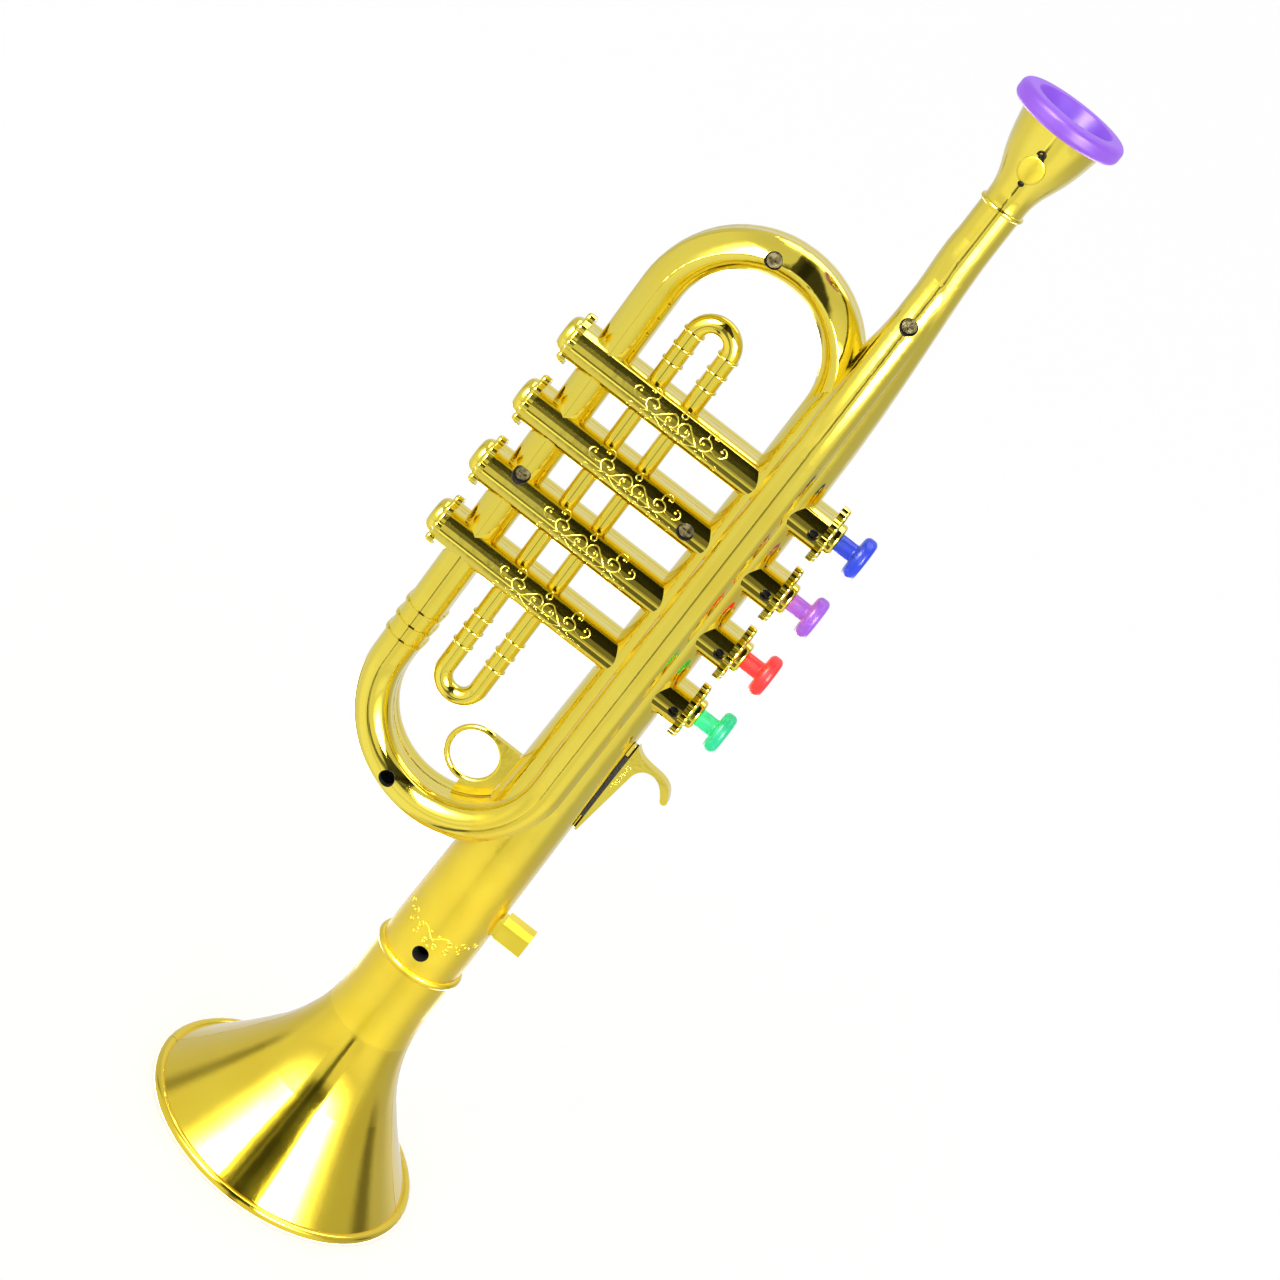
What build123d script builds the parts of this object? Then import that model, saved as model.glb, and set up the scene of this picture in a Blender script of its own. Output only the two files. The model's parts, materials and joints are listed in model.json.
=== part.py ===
import os
from math import atan2, cos, radians, sin, sqrt

from build123d import *

os.makedirs("parts", exist_ok=True)

# The trumpet stands on its bell. The origin is the centre of the bell's rim, on the main
# axis. +Z runs up to the mouthpiece, +X points to the buttons and -Y to the front shell.
# All lengths are in millimetres.

# Walls and clearances
wall = 1.6
overrun = 2.0
seat_gap = 0.15
slide_fit = 0.08
slot_fit = 0.1
side_step = 0.2

# Bell and main tube, outside radii and their heights
total_length = 370.0
ring_height = 5.0
rim_radius = 40.96
rim_bead_radius = 1.5
flare_start = 60.0
flare_radius = 61.0
flare_turn = 32.8
throat_radius = 12.4
throat_top = 80.0
tube_middle = 165.0
tube_middle_radius = 10.85
tube_top = 250.0
tube_top_radius = 9.75
throat_bead_height = 74.4
throat_bead_radius = 1.2

# Shoulder, where the wide tube narrows to the leadpipe: heights as shares of the way up to
# the ridge's bend, radii as shares of the narrowing, shifts as shares of the leadpipe's radius
shoulder_height_shares = (0.0, 0.175, 0.425, 0.6625, 0.85, 1.0)
shoulder_radius_shares = (1.0, 0.928, 0.578, 0.1325, 0.036, 0.0)
shoulder_shift_shares = (0.0, 0.0, 0.098, 0.17, 0.045, 0.0)

# Mouthpiece funnel of the shells
leadpipe_radius = 5.6
leadpipe_bead_height = 340.5
leadpipe_bead_radius = 0.7
funnel_start = 342.0
funnel_middle = 352.5
funnel_middle_radius = 8.5
funnel_top = total_length - ring_height
funnel_top_radius = 11.6
funnel_top_lean = 10.0

# Purple mouthpiece: ring and cup
ring_radius = 15.3
ring_round = 1.8
cup_mouth_radius = 11.0
cup_lip_round = 0.6
cup_depth = 18.5
cup_bore_radius = 2.0
cup_wall = 1.1
cup_stem_length = 5.0
cup_depth_shares = (0.19, 0.38, 0.65, 0.865, 1.0)
cup_radius_shares = (0.84, 0.69, 0.494, 0.23, 0.0)

# Front ridge, the leadpipe that runs down the front to the lower loop
ridge_radius = 5.2
ridge_forward = 8.3
ridge_bend_top = 330.0
ridge_bend_bottom = 262.0

# Valve casings
valve_top = 245.6
valve_pitch = 20.88
valve_count = 4
casing_half_width = 5.1
casing_forward = 2.9
casing_left = 64.7
casing_right = 15.3

# Loops: half widths, places of the legs, how far their rounds stand from the parting plane
left_leg = 56.1
upper_half_width = 5.5
upper_right_leg = 4.2
upper_arch_height = 270.5
upper_backward = 4.2
lower_half_width = 5.3
lower_arch_height = 142.75
lower_forward = 2.0
lower_backward = 3.4

# Front of the upper loop and the connectors: two shallow slopes that meet in a crest
crest_forward = 6.4
crest_slope = 31.0
crest_round = 0.5
side_round_share = 0.63

# Thick connectors between the casings
connector_half_width = 5.4
connector_backward = 1.8

# Thin rods between the casings and the two small slides
slide_left = 42.35
slide_right = 31.5
rod_radius = 2.4
slide_radius = 2.7
upper_slide_arch = 266.6
lower_slide_arch = 149.4
slide_bead_radius = 0.45
slide_bead_pitch = 4.95
slide_bead_count = 3
upper_slide_bead = 266.5
lower_slide_bead = 157.8

# Three ring beads on the lower loop's left leg
leg_bead_bottom = 149.8
leg_bead_pitch = 5.0
leg_bead_height = 0.5
leg_bead_thickness = 1.1
leg_bead_count = 3

# Case screws: head, hole and the boss around them
screw_head_radius = 2.0
screw_head_height = 1.3
screw_shank_radius = 1.0
screw_grip = 4.0
screw_tip_gap = 0.5
screw_recess_width = 0.55
screw_recess_depth = 0.6
screw_recess_span = 2.4
head_hole_radius = 2.35
shank_hole_radius = 1.15
pilot_gap = 0.03
boss_radius = 3.15
screw_depth = 2.0
throat_screw_depth = 4.5

# Case screw places: distance left of the axis, height, and the crest that they sit under
arch_screw_angle = 105.0
loop_screw_angle = -107.5
leadpipe_screw_height = 304.0
leadpipe_screw_crest = 7.8
casing_screw_left = 13.1
connector_screw_rise = 4.8
throat_screw_height = 81.3

# Buttons
button_travel = 4.5
button_stop_gap = 0.55
button_disc_radius = 6.1
button_disc_thickness = 3.8
button_disc_round = 1.5
stem_radius = 2.55
stem_root_round = 0.6
collar_radius = 3.1
collar_thickness = 1.6
rod_core_radius = 1.3
rod_head_radius = 1.9
rod_head_length = 0.7
rod_shoulder_radius = 1.7
rod_shoulder_length = 0.8

# Bushings at the right ends of the casings
bushing_flange_radius = 7.0
bushing_lobe_radius = 1.5
bushing_lobe_count = 10
bushing_flange_thickness = 2.5
bushing_neck_radius = 4.7
bushing_neck_length = 1.9
bushing_neck_round = 0.9
bushing_plug_length = 4.2
flange_round = 0.9

# Bushing screws
small_hole_radius = 1.5
small_hole_place = 13.3
small_head_radius = 1.3
small_head_height = 0.8
small_shank_radius = 0.7
small_shank_length = 1.6
small_seat_depth = 3.4
small_slot_depth = 0.3

# End caps at the left ends of the casings
cap_flange_radius = 6.5
cap_lobe_radius = 1.5
cap_lobe_count = 8
cap_flange_thickness = 2.4
cap_dome_radius = 5.4
cap_dome_height = 2.5
cap_dome_round = 2.3
cap_plug_length = 5.0

# Valve plate, pads and springs inside the main tube
plate_face = -0.3
plate_thickness = 2.0
plate_top = 254.0
plate_bottom = 170.0
plate_ledge_thickness = 2.0
port_radius = 2.1
pad_radius = 3.0
pad_thickness = 1.5
pad_gap = 0.05
pad_bore_gap = 0.03
spring_wire_radius = 0.3
spring_radius = 2.6
spring_turns = 6

# Reed capsules and reeds inside the casings
capsule_right = 17.0
capsule_plug_length = 4.0
capsule_length = 13.0
capsule_face = -0.3
passage_width = 3.2
passage_depth = 3.2
passage_skin = 1.1
window_width = 2.0
window_margin = 0.6
reed_width = 2.8
reed_thickness = 0.2

# Finger ring with its web, to the left of the main tube
finger_ring_left = 21.8
finger_ring_height = 133.5
finger_ring_radius = 7.85
finger_ring_wire = 0.85
web_thickness = 2.0
web_top = 142.0
web_tab_height = 136.0
web_left = 21.0
web_tab_depth = 2.4
web_tab_length = 9.0

# Finger hook to the right of the main tube
hook_thickness = 3.0
hook_base = 12.0
hook_bottom = 135.0
hook_top = 166.0
hook_wedge_width = 4.2
hook_foot_width = 0.6
hook_shoulder = 161.5
hook_arm_thickness = 2.0
hook_tip_left = 27.0
hook_tip_height = 157.2
hook_wedge_share = 0.8
hook_under_share = 0.45
hook_rise_shares = (0.6, 0.3)
hook_tip_shares = (0.8, 0.2, 0.3)
hook_under_starts = (0.2, 1.0)
hook_under_ends = (0.5, -0.9)
hook_tab_length = 22.0
hook_tab_depth = 2.6

# Holder block to the right of the main tube
block_left = 13.0
block_right = 21.9
block_height = 97.0
block_width = 8.8
block_depth = 7.0
block_bevel = 1.6
block_tab_width = 5.6
block_tab_depth = 3.0


def valve_heights():
    """Heights of the four valve axes, from the top down."""
    return [valve_top - valve_pitch * n for n in range(valve_count)]


def main_tube(inset):
    """Bell, main tube, shoulder and funnel as one round solid, smaller by inset."""
    flare_centre = throat_radius + flare_radius
    with BuildPart() as tube:
        with BuildSketch(Plane.YZ):
            with BuildLine():
                taper = Spline(
                    (tube_top_radius - inset, tube_top),
                    (tube_middle_radius - inset, tube_middle),
                    (throat_radius - inset, throat_top),
                )
                throat = Line(taper @ 1, (throat_radius - inset, flare_start))
                flare = JernArc(
                    throat @ 1, tangent=(0, -1), radius=flare_radius + inset, arc_size=flare_turn
                )
                turn = radians(flare_turn)
                outer_break = (
                    flare_centre - flare_radius * cos(turn),
                    flare_start - flare_radius * sin(turn),
                )
                chord = atan2(rim_radius - outer_break[0], outer_break[1] - rim_bead_radius)
                rim_turn = 2 * chord - turn
                skirt = TangentArc(
                    flare @ 1,
                    (
                        rim_radius - inset * cos(rim_turn),
                        rim_bead_radius - inset * sin(rim_turn),
                    ),
                    tangent=flare % 1,
                )
                drop = 0 if inset == 0 else -overrun
                edge = Line(skirt @ 1, ((skirt @ 1).X, drop))
                floor = Line(edge @ 1, (0, drop))
                axis = Line(floor @ 1, (0, tube_top))
                Line(axis @ 1, taper @ 0)
            make_face()
        revolve(axis=Axis.Z)
    shoulder_rise = ridge_bend_top - tube_top
    narrowing = tube_top_radius - leadpipe_radius
    stations = zip(shoulder_height_shares, shoulder_radius_shares, shoulder_shift_shares)
    with BuildPart() as shoulder:
        for height_share, radius_share, shift_share in stations:
            place = (leadpipe_radius * shift_share, 0, tube_top + shoulder_rise * height_share)
            with BuildSketch(Plane(place, x_dir=(0, 1, 0), z_dir=(0, 0, 1))):
                Circle(leadpipe_radius + narrowing * radius_share - inset)
        loft()
    lean = radians(funnel_top_lean)
    end = funnel_top if inset == 0 else funnel_top + overrun
    with BuildPart() as funnel:
        with BuildSketch(Plane.YZ):
            with BuildLine():
                pipe = Line(
                    (leadpipe_radius - inset, ridge_bend_top),
                    (leadpipe_radius - inset, funnel_start),
                )
                horn = Spline(
                    pipe @ 1,
                    (funnel_middle_radius - inset, funnel_middle),
                    (funnel_top_radius - inset, funnel_top),
                    tangents=((0, 1), (sin(lean), cos(lean))),
                )
                rise = Line(horn @ 1, (funnel_top_radius - inset, end)) if inset else horn
                top = Line(rise @ 1, (0, end))
                axis = Line(top @ 1, (0, ridge_bend_top))
                Line(axis @ 1, pipe @ 0)
            make_face()
        revolve(axis=Axis.Z)
    with BuildPart() as whole:
        add(tube.part)
        add(shoulder.part)
        add(funnel.part)
    return whole.part


def casing_section(half_width):
    """Section of a casing across its length: two rounds joined by straight sides."""
    with BuildSketch() as section:
        with Locations((casing_forward, 0), (-casing_forward, 0)):
            Circle(half_width)
        Rectangle(2 * casing_forward, 2 * (half_width - side_step))
    return section.sketch


def casings(inset):
    """The four casings, from the end caps through the main tube to the bushings."""
    reach = overrun if inset else 0
    with BuildPart() as tubes:
        for height in valve_heights():
            with BuildSketch(Plane.YZ.offset(-casing_left - reach)):
                with Locations((0, height)):
                    add(casing_section(casing_half_width - inset))
            extrude(amount=casing_left + casing_right + 2 * reach)
    return tubes.part


def crested_section(half_width, inset):
    """Front half of a tube's section, smaller by inset: a crest, two slopes, upright sides."""
    slope = radians(crest_slope)
    side_round = half_width * side_round_share
    side_shift = half_width - side_round
    slope_radius = (crest_forward**2 + side_shift**2 - side_round**2) / (
        2 * (crest_forward * cos(slope) - side_shift * sin(slope) - side_round)
    )
    centre = Vector(-slope_radius * sin(slope), crest_forward - slope_radius * cos(slope))
    outward = (Vector(side_shift, 0) - centre).normalized()
    meet = Vector(side_shift, 0) + outward * (side_round - inset)
    top = centre.Y + sqrt((slope_radius - inset) ** 2 - centre.X**2)
    with BuildSketch() as section:
        with BuildLine():
            roof = TangentArc((0, top), meet, tangent=(top - centre.Y, centre.X))
            side = TangentArc(roof @ 1, (half_width - inset, 0), tangent=roof % 1)
            drop = Line(side @ 1, (half_width - inset, -overrun))
            floor = Line(drop @ 1, (0, -overrun))
            Line(floor @ 1, roof @ 0)
        make_face()
        mirror(about=Plane.YZ)
        fillet(section.vertices().sort_by(Axis.Y)[-1], crest_round)
    return section.sketch


def round_section(radius):
    """A round section."""
    with BuildSketch() as section:
        Circle(radius)
    return section.sketch


def loop_run(plane, run, section):
    """A tube swept along a leg, an arch and a leg drawn on a plane, its section's Y forward."""
    left, right, arch, left_end, right_end, upward = run
    radius = (right - left) / 2
    middle = (right + left) / 2
    with BuildPart() as tube:
        with BuildLine(plane) as drawn:
            Line((left, left_end), (left, arch))
            if upward:
                CenterArc((middle, arch), radius, 180, -180)
            else:
                CenterArc((middle, arch), radius, 180, 180)
            Line((right, arch), (right, right_end))
        route = drawn.line
        along = route % 0
        with BuildSketch(Plane(route @ 0, x_dir=plane.z_dir.cross(along), z_dir=along)):
            add(section)
        sweep(path=route)
    return tube.part


def side_walls(plane, run, half_width, keep):
    """The straight sides between a swept tube and the parting plane."""
    left, right, arch, left_end, right_end, upward = run
    radius = (right - left) / 2
    middle = (right + left) / 2
    narrow = half_width - side_step
    with BuildPart() as walls:
        with BuildSketch(plane):
            with Locations((middle, arch)):
                Circle(radius + narrow)
                Circle(radius - narrow, mode=Mode.SUBTRACT)
            cut = -radius - half_width if upward else radius + half_width
            with Locations((middle, arch + cut / 2)):
                Rectangle(2 * (radius + half_width), abs(cut), mode=Mode.SUBTRACT)
            for place, end in ((left, left_end), (right, right_end)):
                with Locations((place, (arch + end) / 2)):
                    Rectangle(2 * narrow, abs(arch - end))
        extrude(amount=ridge_forward + half_width, dir=(0, 1, 0), both=True)
        split(bisect_by=Plane.XZ, keep=keep)
        split(bisect_by=plane, keep=Keep.BOTTOM if keep == Keep.TOP else Keep.TOP)
    return walls.part


def upper_run():
    """Legs and arch of the upper loop, on a plane whose X is the trumpet's X."""
    return (-left_leg, -upper_right_leg, upper_arch_height, valve_top - rod_radius, valve_top, True)


def front_network(inset):
    """All the front shell's tubes, smaller by inset, up to the parting plane."""
    bottom_valve = valve_heights()[-1]
    upper_plane = Plane((0, 0, 0), x_dir=(1, 0, 0), z_dir=(0, -1, 0))
    lean = atan2(ridge_forward - lower_forward, left_leg)
    lower_plane = Plane(
        (0, -ridge_forward, 0), x_dir=(cos(lean), -sin(lean), 0), z_dir=(-sin(lean), -cos(lean), 0)
    )
    span = left_leg / cos(lean)
    lower = (-span, 0, lower_arch_height, bottom_valve + rod_radius, ridge_bend_bottom, False)
    bend_drop = ridge_bend_top - ridge_bend_bottom
    with BuildPart() as bend:
        with BuildLine(Plane.YZ) as drawn:
            Bezier(
                (0, ridge_bend_top),
                (0, ridge_bend_top - bend_drop / 2),
                (-ridge_forward, ridge_bend_bottom + bend_drop / 2),
                (-ridge_forward, ridge_bend_bottom),
            )
        route = drawn.line
        with BuildSketch(Plane(route @ 0, z_dir=route % 0)):
            Circle(ridge_radius - inset)
        sweep(path=route)
    with BuildPart() as bend_walls:
        with BuildSketch(Plane.YZ):
            with BuildLine():
                curve = Bezier(
                    (0, ridge_bend_top),
                    (0, ridge_bend_top - bend_drop / 2),
                    (-ridge_forward, ridge_bend_bottom + bend_drop / 2),
                    (-ridge_forward, ridge_bend_bottom),
                )
                foot = Line(curve @ 1, (0, ridge_bend_bottom))
                Line(foot @ 1, curve @ 0)
            make_face()
        extrude(amount=ridge_radius - inset - side_step, both=True)
    with BuildPart() as network:
        add(main_tube(inset))
        add(casings(inset))
        add(loop_run(upper_plane, upper_run(), crested_section(upper_half_width, inset)))
        add(loop_run(lower_plane, lower, round_section(lower_half_width - inset)))
        add(side_walls(lower_plane, lower, lower_half_width - inset, Keep.TOP))
        add(bend.part)
        add(bend_walls.part)
        add(front_connector(inset))
        split(bisect_by=Plane.XZ, keep=Keep.TOP)
    return network.part


def back_network(inset):
    """All the back shell's tubes, smaller by inset, up to the parting plane."""
    bottom_valve = valve_heights()[-1]
    upper_plane = Plane((0, upper_backward, 0), x_dir=(1, 0, 0), z_dir=(0, -1, 0))
    lower_plane = Plane((0, lower_backward, 0), x_dir=(1, 0, 0), z_dir=(0, -1, 0))
    end = lower_arch_height + lower_half_width
    lower = (-left_leg, 0, lower_arch_height, bottom_valve + rod_radius, end, False)
    with BuildPart() as network:
        add(main_tube(inset))
        add(casings(inset))
        add(loop_run(upper_plane, upper_run(), round_section(upper_half_width - inset)))
        add(side_walls(upper_plane, upper_run(), upper_half_width - inset, Keep.BOTTOM))
        add(loop_run(lower_plane, lower, round_section(lower_half_width - inset)))
        add(side_walls(lower_plane, lower, lower_half_width - inset, Keep.BOTTOM))
        add(back_connector(inset))
        split(bisect_by=Plane.XZ, keep=Keep.BOTTOM)
    return network.part


def front_connector(inset):
    """Front half of the thick tube that joins the casings near their left ends."""
    top, bottom = valve_heights()[0], valve_heights()[-1]
    with BuildPart() as tube:
        with BuildSketch(Plane((-left_leg, 0, bottom), x_dir=(-1, 0, 0), z_dir=(0, 0, 1))):
            add(crested_section(connector_half_width, inset))
        extrude(amount=top - bottom)
    return tube.part


def back_connector(inset):
    """Back half of the thick tube that joins the casings near their left ends."""
    top, bottom = valve_heights()[0], valve_heights()[-1]
    half_width = connector_half_width - inset
    with BuildPart() as tube:
        with BuildSketch(Plane.XY.offset(bottom)):
            with Locations((-left_leg, connector_backward)):
                Circle(half_width)
            with Locations((-left_leg, connector_backward / 2)):
                Rectangle(2 * (half_width - side_step), connector_backward)
        extrude(amount=top - bottom)
    return tube.part


def rod(x, bottom, top, radius):
    """A round upright rod on the parting plane."""
    with BuildPart() as upright:
        with BuildSketch(Plane.XY.offset(bottom)):
            with Locations((x, 0)):
                Circle(radius)
        extrude(amount=top - bottom)
    return upright.part


def bead(x, height, radius, bead_radius):
    """A ring bead around an upright round tube."""
    with BuildPart() as ring:
        with Locations((x, 0, height)):
            Torus(radius, bead_radius)
    return ring.part


def small_slides():
    """The two small slides with their beads, and the thin rods between the casings."""
    flat = Plane((0, 0, 0), x_dir=(1, 0, 0), z_dir=(0, -1, 0))
    top, bottom = valve_heights()[0], valve_heights()[-1]
    places = (-slide_left, -slide_right)
    with BuildPart() as slides:
        section = round_section(slide_radius)
        add(loop_run(flat, (*places, upper_slide_arch, top, top, True), section))
        add(loop_run(flat, (*places, lower_slide_arch, bottom, bottom, False), section))
        for place in places:
            add(rod(place, bottom, top, rod_radius))
            for n in range(slide_bead_count):
                step = slide_bead_pitch * n
                add(bead(place, upper_slide_bead - step, slide_radius, slide_bead_radius))
                add(bead(place, lower_slide_bead + step, slide_radius, slide_bead_radius))
    return slides.part


def leg_beads(forward):
    """Three ring beads on the lower loop's left leg, for the shell on that side."""
    radius = lower_half_width + leg_bead_height
    with BuildPart() as beads:
        for n in range(leg_bead_count):
            with BuildSketch(Plane.XY.offset(leg_bead_bottom + leg_bead_pitch * n)):
                with Locations((-left_leg, -forward)):
                    Circle(radius)
                with Locations((-left_leg, -forward / 2)):
                    Rectangle(2 * radius, abs(forward))
            extrude(amount=leg_bead_thickness / 2, both=True)
        chamfer(beads.edges().filter_by(Axis.Z, reverse=True), leg_bead_height / 2)
    return beads.part


def screw_places():
    """Where each case screw stands: its X, its height, the crest over it and its depth."""
    arch_x = -(left_leg + upper_right_leg) / 2
    arch_radius = (left_leg - upper_right_leg) / 2
    loop_radius = left_leg / 2
    arch = radians(arch_screw_angle)
    loop = radians(loop_screw_angle)
    heights = valve_heights()
    lean_share = (loop_radius - loop_radius * cos(loop)) / left_leg
    loop_forward = ridge_forward - (ridge_forward - lower_forward) * lean_share
    casing_crest = casing_forward + casing_half_width
    return [
        (
            arch_x + arch_radius * cos(arch),
            upper_arch_height + arch_radius * sin(arch),
            crest_forward,
            screw_depth,
        ),
        (0, leadpipe_screw_height, leadpipe_screw_crest, screw_depth),
        (-casing_screw_left, heights[1], casing_crest, screw_depth),
        (
            -left_leg,
            heights[2] + connector_screw_rise,
            crest_forward,
            screw_depth,
        ),
        (
            -loop_radius + loop_radius * cos(loop),
            lower_arch_height + loop_radius * sin(loop),
            loop_forward + lower_half_width,
            screw_depth,
        ),
        (0, throat_screw_height, throat_radius, throat_screw_depth),
    ]


def across(x, height, front, length, radius):
    """A round bar along Y, from its front end backwards."""
    with BuildPart() as bar:
        with BuildSketch(Plane((x, -front, height), x_dir=(1, 0, 0), z_dir=(0, 1, 0))):
            Circle(radius)
        extrude(amount=length)
    return bar.part


def bosses(network):
    """Screw bosses of one shell, trimmed in the middle of its wall."""
    with BuildPart() as posts:
        for x, height, crest, depth in screw_places():
            add(across(x, height, crest + boss_radius, 2 * crest + 2 * boss_radius, boss_radius))
        add(network, mode=Mode.INTERSECT)
    return posts.part


def front_holes():
    """Head and shank holes of the front shell's bosses, and the small casing holes."""
    with BuildPart() as holes:
        for x, height, crest, depth in screw_places():
            seat = crest - depth - screw_head_height
            add(across(x, height, crest + overrun, crest + overrun - seat, head_hole_radius))
            add(across(x, height, crest, crest + overrun, shank_hole_radius))
        crest = casing_forward + casing_half_width
        for height in valve_heights():
            add(across(small_hole_place, height, crest + overrun, crest + overrun, small_hole_radius))
    return holes.part


def back_holes():
    """Pilot holes of the back shell's bosses."""
    radius = screw_shank_radius + pilot_gap
    with BuildPart() as holes:
        for x, height, crest, depth in screw_places():
            add(across(x, height, overrun, overrun + screw_grip, radius))
    return holes.part


def insert_slots():
    """Slots in the parting plane that hold the hook, the block and the ring's web."""
    hook_middle = (hook_top + hook_bottom) / 2
    with BuildPart() as slots:
        with Locations((hook_base - hook_tab_depth / 2, 0, hook_middle)):
            Box(
                hook_tab_depth + overrun,
                hook_thickness + 2 * slot_fit,
                hook_tab_length + 2 * slot_fit,
            )
        with Locations((block_left - block_tab_depth / 2, 0, block_height)):
            Box(
                block_tab_depth + overrun,
                block_tab_width + 2 * slot_fit,
                block_tab_width + 2 * slot_fit,
            )
        with Locations((-web_tab_edge() + web_tab_depth / 2, 0, web_tab_height)):
            Box(
                web_tab_depth + overrun,
                web_thickness + 2 * slot_fit,
                web_tab_length + 2 * slot_fit,
            )
    return slots.part


def web_tab_edge():
    """How far left of the axis the web meets the main tube."""
    return tube_middle_radius + seat_gap


def rim_beads():
    """The round beads of the bell's rim, the throat and the leadpipe."""
    with BuildPart() as beads:
        add(bead(0, rim_bead_radius, rim_radius, rim_bead_radius))
        add(bead(0, throat_bead_height, throat_radius, throat_bead_radius))
        add(bead(0, leadpipe_bead_height, leadpipe_radius, leadpipe_bead_radius))
    return beads.part


# Both shells share the slides, rods and beads, each shell holding its own half of them
slides_part = small_slides()
beads_part = rim_beads()
slots_part = insert_slots()
front_outside = front_network(0)
front_inside = front_network(wall)
back_outside = back_network(0)
back_inside = back_network(wall)

with BuildPart() as front_shell:
    add(front_outside)
    add(slides_part)
    add(leg_beads(lower_forward))
    add(beads_part)
    add(front_inside, mode=Mode.SUBTRACT)
    add(bosses(front_network(wall / 2)))
    add(front_holes(), mode=Mode.SUBTRACT)
    add(slots_part, mode=Mode.SUBTRACT)
    split(bisect_by=Plane.XZ, keep=Keep.TOP)
front_shell.part.label = "front_shell"
export_step(front_shell.part, "parts/front_shell.step")

with BuildPart() as back_shell:
    add(back_outside)
    add(slides_part)
    add(leg_beads(-lower_backward))
    add(beads_part)
    add(back_inside, mode=Mode.SUBTRACT)
    add(bosses(back_network(wall / 2)))
    add(back_holes(), mode=Mode.SUBTRACT)
    add(slots_part, mode=Mode.SUBTRACT)
    split(bisect_by=Plane.XZ, keep=Keep.BOTTOM)
back_shell.part.label = "back_shell"
export_step(back_shell.part, "parts/back_shell.step")


def on_valve(height, x):
    """Plane across a casing: its X is the trumpet's Y, its Y is the trumpet's Z."""
    return Plane((x, 0, height), x_dir=(0, 1, 0), z_dir=(1, 0, 0))


def scalloped(radius, lobe_radius, lobe_count):
    """Sketch of a round flange with lobes around its edge."""
    with BuildSketch() as outline:
        Circle(radius)
        with PolarLocations(radius, lobe_count):
            Circle(lobe_radius)
    return outline.sketch


# Mouthpiece: a rounded ring that sits on the funnel, with the cup that hangs inside it
with BuildPart() as mouthpiece_rim:
    bowl_points = [(cup_mouth_radius, total_length)]
    for depth_share, radius_share in zip(cup_depth_shares, cup_radius_shares):
        bowl_radius = cup_bore_radius + (cup_mouth_radius - cup_bore_radius) * radius_share
        bowl_points.append((bowl_radius, total_length - cup_depth * depth_share))
    liner_points = [(radius + cup_wall, height) for radius, height in reversed(bowl_points[2:])]
    stem_foot = total_length - cup_depth - cup_stem_length
    with BuildSketch(Plane.XZ):
        with BuildLine():
            lip = Line((ring_radius, total_length), bowl_points[0])
            bowl = Spline(*bowl_points)
            bore = Line(bowl @ 1, (cup_bore_radius, stem_foot))
            foot = Line(bore @ 1, (cup_bore_radius + cup_wall, stem_foot))
            stem = Line(foot @ 1, liner_points[0])
            liner = Spline(*liner_points)
            neck = Line(liner @ 1, ((liner @ 1).X, funnel_top))
            seat = Line(neck @ 1, (ring_radius, funnel_top))
            Line(seat @ 1, lip @ 0)
        make_face()
    revolve(axis=Axis.Z)
    top_rims = mouthpiece_rim.edges().group_by(Axis.Z)[-1]
    fillet(top_rims.sort_by(SortBy.RADIUS)[0], cup_lip_round)
    fillet(mouthpiece_rim.edges().filter_by(GeomType.CIRCLE).group_by(SortBy.RADIUS)[-1], ring_round)
mouthpiece_rim.part.label = "mouthpiece_rim"
export_step(mouthpiece_rim.part, "parts/mouthpiece_rim.step")

# Places along a casing's axis, worked out from the bushing and the valve plate
neck_end = casing_right + bushing_flange_thickness + bushing_neck_length
disc_back = neck_end + button_travel + button_stop_gap
button_end = disc_back + button_disc_thickness
plug_inner_face = casing_right - bushing_plug_length
collar_right_face = plug_inner_face - seat_gap
collar_left_face = collar_right_face - collar_thickness
plate_left_face = plate_face - plate_thickness
pad_right_face = plate_left_face - pad_gap
pad_left_face = pad_right_face - pad_thickness
plug_half_width = casing_half_width - wall - slot_fit
button_colours = ("blue", "purple", "red", "green")

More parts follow.
